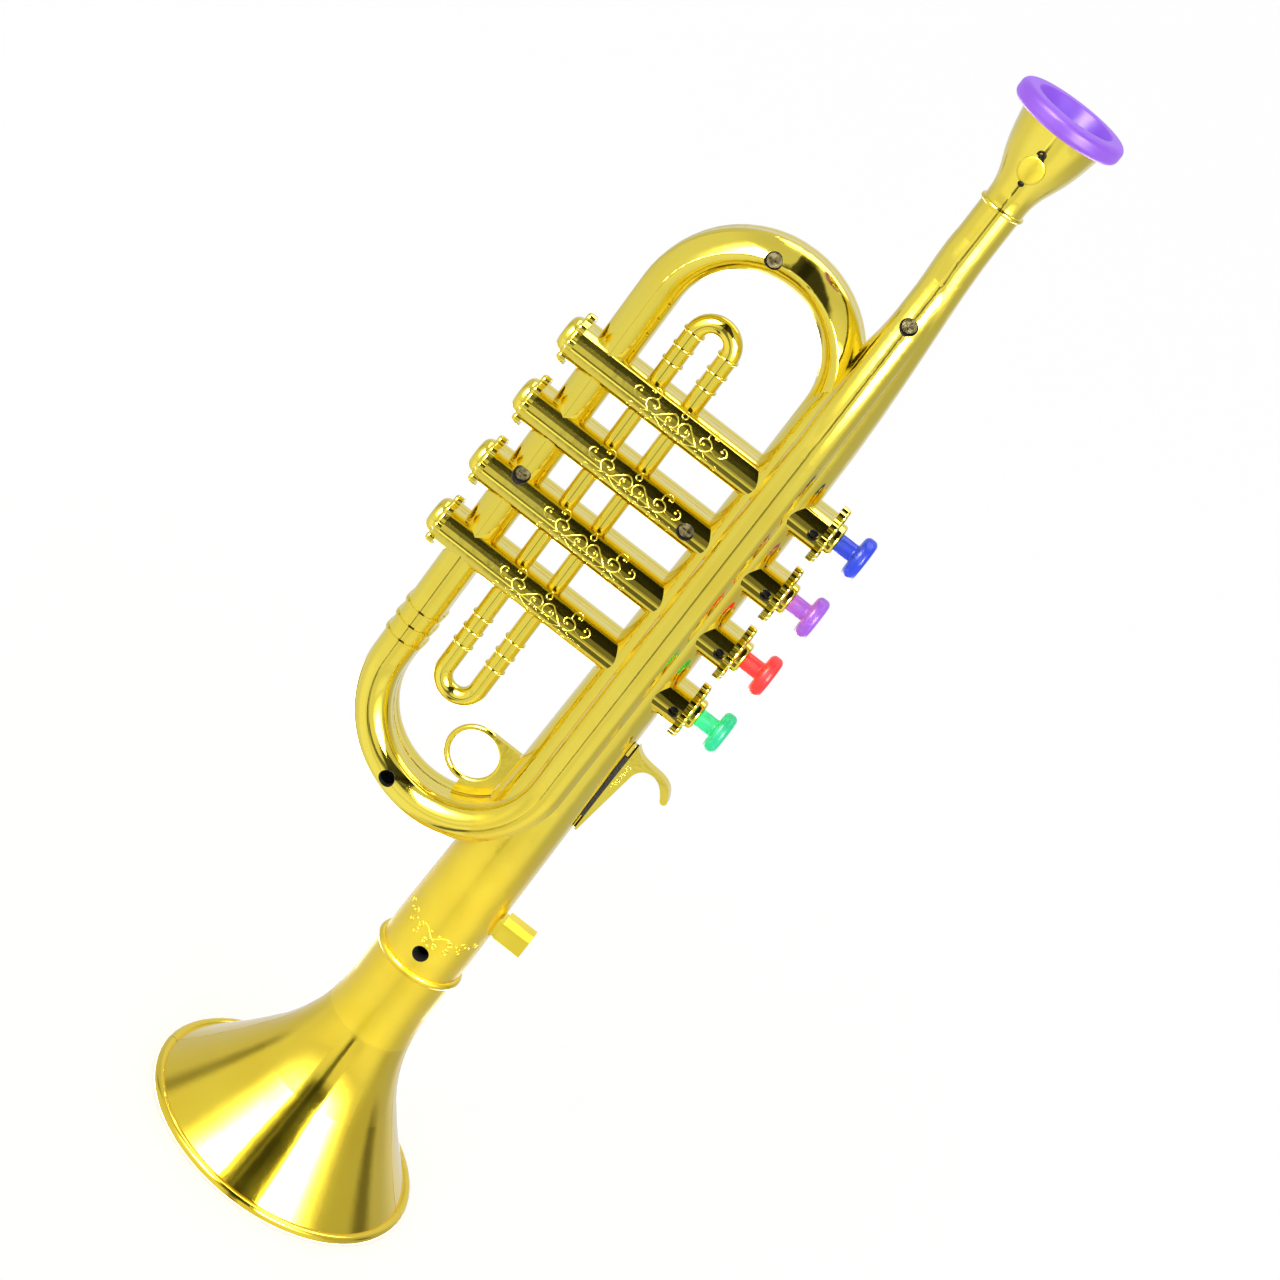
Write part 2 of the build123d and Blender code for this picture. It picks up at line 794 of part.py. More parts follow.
for number, (height, colour) in enumerate(zip(valve_heights(), button_colours), start=1):
    # Bushing: a scalloped flange and neck outside, a plug inside the casing
    with BuildPart() as bushing:
        with BuildSketch(on_valve(height, plug_inner_face)):
            add(casing_section(plug_half_width))
        extrude(amount=bushing_plug_length)
        with BuildSketch(on_valve(height, casing_right)):
            add(scalloped(bushing_flange_radius, bushing_lobe_radius, bushing_lobe_count))
        extrude(amount=bushing_flange_thickness)
        rims = bushing.faces().filter_by(Axis.X).group_by(Axis.X)[-1].edges()
        fillet(rims, flange_round)
        with BuildSketch(on_valve(height, casing_right + bushing_flange_thickness)):
            Circle(bushing_neck_radius)
        extrude(amount=bushing_neck_length)
        fillet(bushing.faces().sort_by(Axis.X)[-1].edges(), bushing_neck_round)
        with Locations(on_valve(height, plug_inner_face)):
            Hole(stem_radius + slide_fit)
        crest = casing_forward + casing_half_width
        seat = crest - small_seat_depth
        add(across(small_hole_place, height, crest, crest - seat, small_hole_radius), mode=Mode.SUBTRACT)
        pilot = small_shank_radius + pilot_gap
        pilot_length = crest - seat + small_shank_length + pilot_gap
        add(across(small_hole_place, height, crest, pilot_length, pilot), mode=Mode.SUBTRACT)
    bushing.part.label = f"valve_bushing_{number}"
    export_step(bushing.part, f"parts/valve_bushing_{number}.step")

    # End cap: a scalloped flange with a low dome, and a plug inside the casing
    with BuildPart() as cap:
        with BuildSketch(on_valve(height, -casing_left)):
            add(casing_section(plug_half_width))
        extrude(amount=cap_plug_length)
        with BuildSketch(on_valve(height, -casing_left)):
            add(scalloped(cap_flange_radius, cap_lobe_radius, cap_lobe_count))
        extrude(amount=-cap_flange_thickness)
        fillet(cap.faces().sort_by(Axis.X)[0].edges(), flange_round)
        with BuildSketch(on_valve(height, -casing_left - cap_flange_thickness)):
            Circle(cap_dome_radius)
        extrude(amount=-cap_dome_height)
        fillet(cap.faces().sort_by(Axis.X)[0].edges(), cap_dome_round)
    cap.part.label = f"end_cap_{number}"
    export_step(cap.part, f"parts/end_cap_{number}.step")

    # Button: disc, stem, collar and the rod that carries the pad, turned in one piece
    with BuildPart() as button:
        with BuildSketch(Plane((0, 0, height), x_dir=(1, 0, 0), z_dir=(0, -1, 0))):
            with BuildLine():
                Polyline(
                    (pad_left_face - rod_head_length, 0),
                    (pad_left_face - rod_head_length, rod_head_radius),
                    (pad_left_face, rod_head_radius),
                    (pad_left_face, rod_core_radius),
                    (pad_right_face, rod_core_radius),
                    (pad_right_face, rod_shoulder_radius),
                    (pad_right_face + rod_shoulder_length, rod_shoulder_radius),
                    (pad_right_face + rod_shoulder_length, rod_core_radius),
                    (collar_left_face, rod_core_radius),
                    (collar_left_face, collar_radius),
                    (collar_right_face, collar_radius),
                    (collar_right_face, stem_radius),
                    (disc_back, stem_radius),
                    (disc_back, button_disc_radius),
                    (button_end, button_disc_radius),
                    (button_end, 0),
                    close=True,
                )
            make_face()
        revolve(axis=Axis((0, 0, height), (1, 0, 0)))
        fillet(button.edges().filter_by(GeomType.CIRCLE).group_by(SortBy.RADIUS)[-1], button_disc_round)
        root = button.edges().filter_by_position(Axis.X, disc_back - seat_gap, disc_back + seat_gap)
        fillet(root.filter_by(GeomType.CIRCLE).sort_by(SortBy.RADIUS)[0], stem_root_round)
    button.part.label = f"button_{colour}"
    export_step(button.part, f"parts/button_{colour}.step")

    # Rubber pad that closes the port in the valve plate
    with BuildPart() as pad:
        with BuildSketch(on_valve(height, pad_left_face)):
            Circle(pad_radius)
            Circle(rod_core_radius + pad_bore_gap, mode=Mode.SUBTRACT)
        extrude(amount=pad_thickness)
    pad.part.label = f"valve_pad_{number}"
    export_step(pad.part, f"parts/valve_pad_{number}.step")

    # Return spring between the valve plate and the button's collar
    spring_start = plate_face + spring_wire_radius + pad_gap
    spring_length = collar_left_face - plate_face - 2 * (spring_wire_radius + pad_gap)
    with BuildPart() as spring:
        with BuildLine():
            coil = Helix(
                pitch=spring_length / spring_turns,
                height=spring_length,
                radius=spring_radius,
                center=(spring_start, 0, height),
                direction=(1, 0, 0),
            )
        with BuildSketch(Plane(coil @ 0, z_dir=coil % 0)):
            Circle(spring_wire_radius)
        sweep(path=coil, is_frenet=True)
    spring.part.label = f"return_spring_{number}"
    export_step(spring.part, f"parts/return_spring_{number}.step")

    # Reed capsule: a plug with an air passage and a flat face that carries the reed
    capsule_left = -capsule_right - capsule_length
    passage_start = capsule_face + passage_skin
    trough = capsule_length - capsule_plug_length
    with BuildPart() as capsule:
        with BuildSketch(on_valve(height, capsule_left)):
            add(casing_section(plug_half_width))
        extrude(amount=capsule_length)
        depth = casing_forward + plug_half_width + capsule_face
        with Locations((capsule_left + trough / 2, capsule_face - depth / 2, height)):
            Box(trough, depth, 2 * plug_half_width, mode=Mode.SUBTRACT)
        passage_length = capsule_length - passage_skin
        passage_middle = -capsule_right - passage_length / 2
        with Locations((passage_middle, passage_start + passage_depth / 2, height)):
            Box(passage_length, passage_depth, passage_width, mode=Mode.SUBTRACT)
        window_length = trough - passage_skin - 2 * window_margin
        window_middle = capsule_left + passage_skin + window_margin + window_length / 2
        with Locations((window_middle, capsule_face + passage_skin / 2, height)):
            Box(window_length, passage_skin, window_width, mode=Mode.SUBTRACT)
    capsule.part.label = f"reed_capsule_{number}"
    export_step(capsule.part, f"parts/reed_capsule_{number}.step")

    # Brass reed on the capsule's flat face, over the window
    with BuildPart() as reed:
        reed_length = trough - 2 * seat_gap
        with Locations((capsule_left + trough / 2, capsule_face - reed_thickness / 2, height)):
            Box(reed_length, reed_thickness, reed_width)
    reed.part.label = f"reed_{number}"
    export_step(reed.part, f"parts/reed_{number}.step")

# Valve plate: splits the main tube into a blowing side and a sounding side, with one port
# for each valve and a ledge at each end
with BuildPart() as valve_plate:
    edge_gap = 2 * seat_gap
    ridge_inside = ridge_radius - wall
    plate_front = ridge_forward + sqrt(ridge_inside**2 - plate_left_face**2) - seat_gap
    low_share = (plate_bottom - throat_top) / (tube_top - throat_top)
    low_radius = throat_radius + (tube_top_radius - throat_radius) * low_share - wall - 2 * edge_gap
    high_radius = tube_top_radius - wall - edge_gap
    back_low = sqrt(low_radius**2 - plate_left_face**2)
    back_high = sqrt(high_radius**2 - plate_left_face**2)
    with BuildSketch(Plane.YZ.offset(plate_left_face)):
        with BuildLine():
            Polyline(
                (-plate_front, plate_bottom),
                (back_low, plate_bottom),
                (back_high, plate_top),
                (-plate_front, plate_top),
                close=True,
            )
        make_face()
        with Locations(*[(0, height) for height in valve_heights()]):
            Circle(port_radius, mode=Mode.SUBTRACT)
    extrude(amount=plate_thickness)
    with BuildSketch(Plane.XY.offset(plate_top - plate_ledge_thickness)):
        Circle(high_radius)
        with Locations((high_radius + plate_left_face, 0)):
            Rectangle(2 * high_radius, 2 * high_radius, mode=Mode.SUBTRACT)
    extrude(amount=plate_ledge_thickness)
    with BuildSketch(Plane.XY.offset(plate_bottom)):
        Circle(low_radius)
        with Locations((-low_radius + plate_face, 0)):
            Rectangle(2 * low_radius, 2 * low_radius, mode=Mode.SUBTRACT)
    extrude(amount=plate_ledge_thickness)
valve_plate.part.label = "valve_plate"
export_step(valve_plate.part, "parts/valve_plate.step")

# Finger ring with a flat web that fills the corner between the lower loop and the tube
with BuildPart() as finger_ring:
    inner_radius = left_leg / 2 - lower_half_width - seat_gap
    with BuildSketch(Plane.XZ):
        with Locations((-web_left, lower_arch_height - inner_radius)):
            Rectangle(web_left, inner_radius, align=(Align.MIN, Align.MIN))
        with Locations((-web_left, web_top)):
            Rectangle(web_left, inner_radius, align=(Align.MIN, Align.MIN), mode=Mode.SUBTRACT)
        with Locations((-left_leg / 2, lower_arch_height)):
            Circle(inner_radius, mode=Mode.INTERSECT)
    extrude(amount=web_thickness / 2, both=True)
    add(main_tube(-seat_gap), mode=Mode.SUBTRACT)
    with Locations((-finger_ring_left, 0, finger_ring_height)):
        Cylinder(finger_ring_radius, 2 * web_thickness, rotation=(90, 0, 0), mode=Mode.SUBTRACT)
        Torus(finger_ring_radius, finger_ring_wire, rotation=(90, 0, 0))
    with Locations((-web_tab_edge() + (web_tab_depth - overrun) / 2, 0, web_tab_height)):
        Box(web_tab_depth + overrun, web_thickness, web_tab_length)
finger_ring.part.label = "finger_ring"
export_step(finger_ring.part, "parts/finger_ring.step")

# Finger hook: a long wedge on the tube's side with a curved arm, and a tab in the case
with BuildPart() as finger_hook:
    with BuildSketch(Plane.XZ):
        with BuildLine():
            reach = hook_tip_left - hook_base
            root_share, side_share, top_share = hook_tip_shares
            low_share, high_share = hook_rise_shares
            foot = Line((hook_base, hook_bottom), (hook_base + hook_foot_width, hook_bottom))
            wedge_side = Line(
                foot @ 1,
                (
                    hook_base + hook_wedge_width * hook_wedge_share,
                    hook_shoulder - 2 * hook_arm_thickness,
                ),
            )
            under = Spline(
                wedge_side @ 1,
                (hook_base + reach * hook_under_share, hook_shoulder),
                (hook_tip_left - hook_arm_thickness * root_share, hook_tip_height),
                tangents=(hook_under_starts, hook_under_ends),
            )
            tip = ThreePointArc(
                under @ 1,
                (hook_tip_left, hook_tip_height - hook_arm_thickness * side_share),
                (
                    hook_tip_left + hook_arm_thickness * side_share,
                    hook_tip_height + hook_arm_thickness * top_share,
                ),
            )
            over = Spline(
                tip @ 1,
                (hook_base + reach * low_share, hook_shoulder + hook_arm_thickness * root_share),
                (hook_base + reach * high_share, hook_shoulder + hook_arm_thickness),
                (hook_base, hook_top),
            )
            Line(over @ 1, foot @ 0)
        make_face()
    extrude(amount=hook_thickness / 2, both=True)
    with Locations((hook_base - hook_tab_depth / 2, 0, (hook_top + hook_bottom) / 2)):
        Box(hook_tab_depth, hook_thickness, hook_tab_length)
finger_hook.part.label = "finger_hook"
export_step(finger_hook.part, "parts/finger_hook.step")

# Holder block: a bevelled block with a tab in the case
with BuildPart() as holder_block:
    block_length = block_right - block_left
    with Locations((block_left + block_length / 2, 0, block_height)):
        Box(block_length, block_depth, block_width)
    chamfer(holder_block.edges().filter_by(Axis.X), block_bevel)
    with Locations((block_left - block_tab_depth / 2, 0, block_height)):
        Box(block_tab_depth, block_tab_width, block_tab_width)
holder_block.part.label = "holder_block"
export_step(holder_block.part, "parts/holder_block.step")

# Case screws: cross-recessed pan heads at the bottom of their holes
with BuildPart() as case_screws:
    for x, height, crest, depth in screw_places():
        top = crest - depth
        seat = top - screw_head_height
        add(across(x, height, top, screw_head_height, screw_head_radius))
        add(across(x, height, seat, seat + screw_grip - screw_tip_gap, screw_shank_radius))
        for width, span in (
            (screw_recess_width, screw_recess_span),
            (screw_recess_span, screw_recess_width),
        ):
            with Locations((x, -top + screw_recess_depth / 2, height)):
                Box(width, screw_recess_depth, span, mode=Mode.SUBTRACT)
case_screws.part.label = "case_screws"
export_step(case_screws.part, "parts/case_screws.step")

# Small screws that hold the bushings
with BuildPart() as bushing_screws:
    for height in valve_heights():
        seat = casing_forward + casing_half_width - small_seat_depth
        add(across(small_hole_place, height, seat + small_head_height, small_head_height, small_head_radius))
        add(across(small_hole_place, height, seat, small_shank_length, small_shank_radius))
        with Locations((small_hole_place, -seat - small_head_height + small_slot_depth / 2, height)):
            Box(
                small_head_radius,
                small_slot_depth,
                screw_recess_width,
                mode=Mode.SUBTRACT,
            )
bushing_screws.part.label = "bushing_screws"
export_step(bushing_screws.part, "parts/bushing_screws.step")
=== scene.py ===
import json
import math

import bpy
from mathutils import Matrix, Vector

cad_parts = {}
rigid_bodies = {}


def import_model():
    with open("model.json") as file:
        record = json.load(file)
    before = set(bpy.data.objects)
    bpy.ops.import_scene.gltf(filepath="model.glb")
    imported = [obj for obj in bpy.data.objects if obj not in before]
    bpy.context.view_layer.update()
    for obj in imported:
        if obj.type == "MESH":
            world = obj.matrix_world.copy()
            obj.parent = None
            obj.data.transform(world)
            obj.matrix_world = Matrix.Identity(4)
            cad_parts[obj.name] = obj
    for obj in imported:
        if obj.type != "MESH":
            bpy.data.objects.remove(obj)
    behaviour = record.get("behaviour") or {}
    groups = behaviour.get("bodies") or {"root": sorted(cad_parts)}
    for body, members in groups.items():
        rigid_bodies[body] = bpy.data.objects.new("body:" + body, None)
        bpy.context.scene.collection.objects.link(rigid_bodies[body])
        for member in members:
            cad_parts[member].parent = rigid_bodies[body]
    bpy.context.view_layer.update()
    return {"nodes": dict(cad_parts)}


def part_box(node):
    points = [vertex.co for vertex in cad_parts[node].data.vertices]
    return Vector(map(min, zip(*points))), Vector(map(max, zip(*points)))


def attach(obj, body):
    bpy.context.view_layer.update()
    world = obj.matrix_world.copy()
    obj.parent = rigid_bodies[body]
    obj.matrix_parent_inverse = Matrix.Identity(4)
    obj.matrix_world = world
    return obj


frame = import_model()
nodes = frame["nodes"]
bpy.ops.object.select_all(action="DESELECT")

# Camera: a long lens from in front and a little above, rolled so that the standing trumpet
# crosses the picture from its lower left to its upper right.
camera_place = (-0.000045, -0.76507, 0.510)
camera_turn, camera_drop, camera_roll = 0.388, 22.697, 37.797
lens_data = bpy.data.cameras.new("camera")
lens_data.sensor_width = 36.0
lens_data.lens = 88.107
camera = bpy.data.objects.new("camera", lens_data)
bpy.context.scene.collection.objects.link(camera)
camera.matrix_world = (
    Matrix.Translation(camera_place)
    @ Matrix.Rotation(math.radians(camera_turn), 4, "Z")
    @ Matrix.Rotation(math.radians(90 - camera_drop), 4, "X")
    @ Matrix.Rotation(math.radians(camera_roll), 4, "Z")
)
bpy.context.scene.camera = camera
bpy.context.scene.view_settings.view_transform = "Standard"

# Studio: a white room for the camera and for matt surfaces. Polished metal sees it as panels
# of light and dark: a dark gap between the two soft boxes that widens to the right overhead, a
# bright strip behind the zenith, and pale or dim walls around.
world = bpy.data.worlds.new("studio")
bpy.context.scene.world = world
world.use_nodes = True
studio = world.node_tree
studio.nodes.clear()


def join_nodes(tree, kind, inputs=(), **settings):
    """A node of one kind in a tree, with its settings and with its inputs set or linked."""
    node = tree.nodes.new(kind)
    for name, value in settings.items():
        setattr(node, name, value)
    for socket, value in inputs:
        if isinstance(value, bpy.types.NodeSocket):
            tree.links.new(value, node.inputs[socket])
        else:
            node.inputs[socket].default_value = value
    return node


def reckon(tree, operation, *values):
    """The result of one sum in a tree, on numbers or sockets."""
    return join_nodes(tree, "ShaderNodeMath", list(enumerate(values)), operation=operation).outputs[0]


def ramp(tree, value, start, end, soft=True, **ends):
    """A value turned into a share from its start to its end, or into another range of levels."""
    edges = [("Value", value), ("From Min", start), ("From Max", end)]
    edges += [(name.replace("_", " "), level) for name, level in ends.items()]
    kind = "SMOOTHSTEP" if soft else "LINEAR"
    return join_nodes(tree, "ShaderNodeMapRange", edges, interpolation_type=kind).outputs[0]


def between(tree, share, start, end):
    """A level between two levels, at a share."""
    pair = [("Factor", share), ("A", start), ("B", end)]
    return join_nodes(tree, "ShaderNodeMix", pair, data_type="FLOAT").outputs[0]


def new_group(name, inputs, outputs):
    """A shader node group with its float, vector or colour sockets, and its two end nodes."""
    group = bpy.data.node_groups.new(name, "ShaderNodeTree")
    kinds = {"f": "NodeSocketFloat", "v": "NodeSocketVector", "c": "NodeSocketColor"}
    for in_out, sockets in (("INPUT", inputs), ("OUTPUT", outputs)):
        for label, kind in sockets:
            group.interface.new_socket(label, in_out=in_out, socket_type=kinds[kind])
    return group, group.nodes.new("NodeGroupInput").outputs, group.nodes.new("NodeGroupOutput").inputs


panel, given, result = new_group(
    "panel",
    [
        (label, "f")
        for label in ("Across", "Up", "Left", "Right", "Soft", "Low", "High", "Fade", "Level", "Behind")
    ],
    [("Level", "f")],
)
edges = []
for place, edge, blur, rising in (
    ("Across", "Left", "Soft", 1),
    ("Across", "Right", "Soft", -1),
    ("Up", "Low", "Fade", 1),
    ("Up", "High", "Fade", -1),
):
    past = reckon(panel, "SUBTRACT", given[place], given[edge])
    edges.append(ramp(panel, reckon(panel, "DIVIDE", past, given[blur]), -rising, rising))
sideways = reckon(panel, "MULTIPLY", *edges[:2])
inside = reckon(panel, "MULTIPLY", sideways, reckon(panel, "MULTIPLY", *edges[2:]))
panel.links.new(between(panel, inside, given["Behind"], given["Level"]), result["Level"])

direction = join_nodes(studio, "ShaderNodeTexCoord").outputs["Generated"]
split = join_nodes(studio, "ShaderNodeSeparateXYZ", [(0, direction)])
ahead = reckon(studio, "MULTIPLY", split.outputs["Y"], -1.0)
# Places in the studio in degrees: around from the front, up from the horizon, and along the
# arc from the front over the zenith to the back. Turned is around without its side, and aside
# is the sideways part of a direction in hundredths.
around = reckon(studio, "DEGREES", reckon(studio, "ARCTAN2", split.outputs["X"], ahead))
up = reckon(studio, "DEGREES", reckon(studio, "ARCSINE", split.outputs["Z"]))
arc = reckon(studio, "DEGREES", reckon(studio, "ARCTAN2", split.outputs["Z"], ahead))
turned = reckon(studio, "ABSOLUTE", around)
aside = reckon(studio, "MULTIPLY", split.outputs["X"], 100.0)
# The dark gap is a fan that opens upwards from a little below the horizon
fan_start = -6.0
fan = reckon(studio, "DIVIDE", around, reckon(studio, "SUBTRACT", up, fan_start))
# Each panel: across what, its left and right edges and their softness; up what, its low and high
# edges and their softness; its level
panels = (
    (around, -200, 200, 12, up, 46, 100, 12, 0.60),
    (around, -155, -104, 12, up, -22, 46, 12, 0.58),
    (around, -112, -101, 5, up, 2, 34, 8, 0.30),
    (around, 72, 140, 14, up, -34, 44, 14, 0.47),
    (around, 103, 117, 5, up, 3, 24, 8, 0.15),
    (around, -66, 72, 22, up, -75, 4, 14, 0.90),
    (around, 6, 30, 9, up, -60, 2, 10, 0.74),
    (around, -66, 72, 22, up, -25, -16, 5, 0.70),
    (aside, -12.0, 7.0, 2.5, arc, -95, -26, 4, 0.70),
    (around, -14, 40, 5, up, 20, 82, 5, 0.035),
    (fan, -0.20, 0.24, 0.08, up, 4, 84, 6, 0.035),
    (around, -4.5, 2.5, 1.5, up, -23.5, 2, 1.5, 0.12),
    (around, -6.0, -1.5, 1.0, up, -26.5, -22, 0.5, 0.12),
    (around, -5.0, 5.0, 2.0, up, -66, -34, 2, 0.12),
    (turned, 124, 137, 5, up, -60, -32, 5, 0.22),
    (aside, -5.4, 7.0, 0.4, arc, -22, -13, 2, 0.42),
    (aside, -5.4, 7.0, 0.4, arc, -13, 18, 3, 0.15),
    (aside, -5.4, 7.0, 0.4, arc, 20, 86, 3, 0.008),
    (aside, -12.0, -5.4, 0.3, arc, -14, 20, 2, 0.62),
    (aside, -9.0, -5.4, 0.3, arc, 20, 45, 2, 0.16),
    (aside, -12.0, -5.4, 0.3, arc, 46, 86, 2, 0.03),
    (aside, -12.0, -5.4, 0.5, arc, -22, -16, 1, 0.06),
    (aside, -12.0, -4.0, 0.5, arc, -37, -27, 2, 1.10),
    (turned, 142, 200, 6, up, -64, -34, 6, 8.0),
    (aside, -32, 45, 4, arc, 86, 126, 2, 4.7),
)
wall_level = 0.72
level = wall_level
for across, left, right, soft, rise, low, high, fade, strength in panels:
    piece = join_nodes(
        studio,
        "ShaderNodeGroup",
        [
            ("Across", across),
            ("Left", left),
            ("Right", right),
            ("Soft", soft),
            ("Up", rise),
            ("Low", low),
            ("High", high),
            ("Fade", fade),
            ("Level", strength),
            ("Behind", level),
        ],
        node_tree=panel,
    )
    level = piece.outputs[0]


def mirrored_twice(tree):
    """Whether light reaches the metal by way of other metal, in a tree."""
    rays = join_nodes(tree, "ShaderNodeLightPath")
    return reckon(tree, "GREATER_THAN", rays.outputs["Glossy Depth"], 1.5)


# Such light is held back to a plain level
most_seen_twice = 0.8
level = between(studio, mirrored_twice(studio), level, reckon(studio, "MINIMUM", level, most_seen_twice))
rays = join_nodes(studio, "ShaderNodeLightPath")
in_metal = join_nodes(studio, "ShaderNodeBackground", [("Color", (1, 1, 1, 1)), ("Strength", level)])
plain = join_nodes(studio, "ShaderNodeBackground", [("Color", (1, 1, 1, 1)), ("Strength", 1.0)])
room = join_nodes(
    studio,
    "ShaderNodeMixShader",
    [(0, rays.outputs["Is Glossy Ray"]), (1, plain.outputs[0]), (2, in_metal.outputs[0])],
)
join_nodes(studio, "ShaderNodeOutputWorld", [("Surface", room.outputs[0])])

# Soft boxes: two tall sheets of lit white cloth, the left one larger and further off. They
# stand where only the polished metal sees them.
cloth = bpy.data.materials.new("lit_cloth")
cloth.use_nodes = True
tree = cloth.node_tree
tree.nodes.remove(tree.nodes["Principled BSDF"])
split = join_nodes(tree, "ShaderNodeSeparateXYZ", [(0, join_nodes(tree, "ShaderNodeTexCoord").outputs["UV"])])
# The cloth ends at its inner side and its top, and grows steadily brighter from the other two
edge_width = 0.10
shown = reckon(
    tree, "MULTIPLY", *[ramp(tree, split.outputs[side], 1.0, 1.0 - edge_width) for side in ("X", "Y")]
)
across_share, up_share = 0.62, 0.60
dimmest, gain = 0.74, 60.0
grown = reckon(
    tree,
    "MULTIPLY",
    ramp(tree, split.outputs["X"], 0.0, across_share),
    ramp(tree, split.outputs["Y"], 0.0, up_share),
)
grown = reckon(tree, "MULTIPLY", reckon(tree, "POWER", gain, grown), dimmest)
level_seen_twice = 0.85
strength = between(tree, mirrored_twice(tree), grown, level_seen_twice)
glow = join_nodes(tree, "ShaderNodeEmission", [("Color", (1, 1, 1, 1)), ("Strength", strength)])
clear = join_nodes(tree, "ShaderNodeBsdfTransparent")
blend = join_nodes(tree, "ShaderNodeMixShader", [(0, shown), (1, clear.outputs[0]), (2, glow.outputs[0])])
tree.links.new(blend.outputs[0], tree.nodes["Material Output"].inputs["Surface"])
# Name, distance, turn from the front, width towards the front, low and high edges
for name, distance, turn, width, low, high in (
    ("soft_box_left", 0.80, -45.0, 0.80, 0.07, 1.25),
    ("soft_box_right", 0.50, 46.0, -0.48, 0.08, 0.55),
):
    bpy.ops.mesh.primitive_plane_add(size=1.0, location=(0, 0, 0))
    box = bpy.context.object
    box.name = name
    box.data.materials.append(cloth)
    away = math.radians(turn)
    box.data.transform(
        Matrix.Translation((distance * math.sin(away), -distance * math.cos(away), (low + high) / 2))
        @ Matrix.Rotation(away, 4, "Z")
        @ Matrix.Rotation(math.radians(90), 4, "X")
        @ Matrix.Diagonal((width, high - low, 1, 1))
    )
    box.visible_camera = False
    box.visible_diffuse = False
    box.visible_shadow = False

# Floor: a seamless sheet of white paper that keeps the soft shadow under the bell. The metal
# sees the studio's lower panels in its place.
bpy.ops.mesh.primitive_plane_add(size=16.0, location=(0, 0, 0))
floor = bpy.context.object
floor.name = "floor"
floor.visible_glossy = False
paper = bpy.data.materials.new("white_paper")
paper.use_nodes = True
floor.data.materials.append(paper)
tree = paper.node_tree
sheet = tree.nodes["Principled BSDF"]
sheet.inputs["Base Color"].default_value = (0.98, 0.98, 0.98, 1)
sheet.inputs["Roughness"].default_value = 0.9
glow = join_nodes(tree, "ShaderNodeEmission", [("Color", (1, 1, 1, 1)), ("Strength", 1.0)])
sight = join_nodes(tree, "ShaderNodeLightPath")
glow_share = 0.6
share = reckon(tree, "MULTIPLY", sight.outputs["Is Camera Ray"], glow_share)
blend = join_nodes(
    tree,
    "ShaderNodeMixShader",
    [(0, share), (1, sheet.outputs[0]), (2, glow.outputs[0])],
)
tree.links.new(blend.outputs[0], tree.nodes["Material Output"].inputs["Surface"])

# Gold case: two moulded halves with a vacuum-plated skin under clear lacquer. The skin is a
# mirror on the tubes, satin on the throat below them, and nearly a mirror again on the bell's
# flare. It thins out at the parting line, and the walls of the screw holes are drawn near black
# as painted shade.


def tinted(tree, share, first, second):
    """A colour between two colours, at a share."""
    pair = [(0, share), (6, first), (7, second)]
    return join_nodes(tree, "ShaderNodeMix", pair, data_type="RGBA").outputs[2]


wear, given, result = new_group(
    "wear",
    [
        ("Place", "v"),
        ("Size", "f"),
        ("Deep", "c"),
        ("Pale", "c"),
        ("Least Roughness", "f"),
        ("Most Roughness", "f"),
        ("Relief", "f"),
    ],
    [("Colour", "c"), ("Roughness", "f"), ("Normal", "v")],
)
cloud = join_nodes(
    wear, "ShaderNodeTexNoise", [("Vector", given["Place"]), ("Scale", given["Size"]), ("Detail", 3.0)]
)
thin, thick = 0.32, 0.68
patch = ramp(wear, cloud.outputs[0], thin, thick, soft=False)
wear.links.new(tinted(wear, patch, given["Deep"], given["Pale"]), result["Colour"])
rough_ends = {"To_Min": given["Least Roughness"], "To_Max": given["Most Roughness"]}
wear.links.new(ramp(wear, cloud.outputs[0], thin, thick, soft=False, **rough_ends), result["Roughness"])
ripples_in_patch = 5.0
finer = reckon(wear, "MULTIPLY", given["Size"], ripples_in_patch)
ripple = join_nodes(
    wear, "ShaderNodeTexNoise", [("Vector", given["Place"]), ("Scale", finer), ("Detail", 2.0)]
)
swell = join_nodes(
    wear, "ShaderNodeBump", [("Distance", given["Relief"]), ("Height", ripple.outputs[0]), ("Strength", 1.0)]
)
wear.links.new(swell.outputs[0], result["Normal"])

bore, given, result = new_group(
    "bore",
    [(label, "f") for label in ("Across", "Up", "Centre Across", "Centre Up", "Radius")],
    [("Mask", "f")],
)
squares = []
for coordinate in ("Across", "Up"):
    off = reckon(bore, "SUBTRACT", given[coordinate], given[f"Centre {coordinate}"])
    squares.append(reckon(bore, "POWER", off, 2.0))
reach = reckon(bore, "SQRT", reckon(bore, "ADD", *squares))
bore.links.new(reckon(bore, "LESS_THAN", reach, given["Radius"]), result["Mask"])

# Bores of the case, whose walls get painted shade: place across, height and radius, in
# millimetres. Six hold the case screws, and one at each casing holds the small screw of its bushing.
valve_heights = (245.6, 224.72, 203.84, 182.96)
screw_bore, small_bore = 2.4, 1.54
screw_places = [(-36.87, 295.57), (0, 304.0), (-13.1, 224.72), (-56.1, 208.64), (-36.48, 116.0), (0, 81.3)]
case_bores = [(*place, screw_bore) for place in screw_places]
case_bores += [(13.3, height, small_bore) for height in valve_heights]
mm = 0.001
# Heights of the finishes on the main tube, and what tells it from the loop that passes in front
satin_start, satin_full = 150 * mm, 105 * mm
polish_start, polish_full = 50 * mm, 46.5 * mm
polish_gain = 0.235
tube_reach, loop_reach = 15.5 * mm, 16.5 * mm
loop_end = 75 * mm
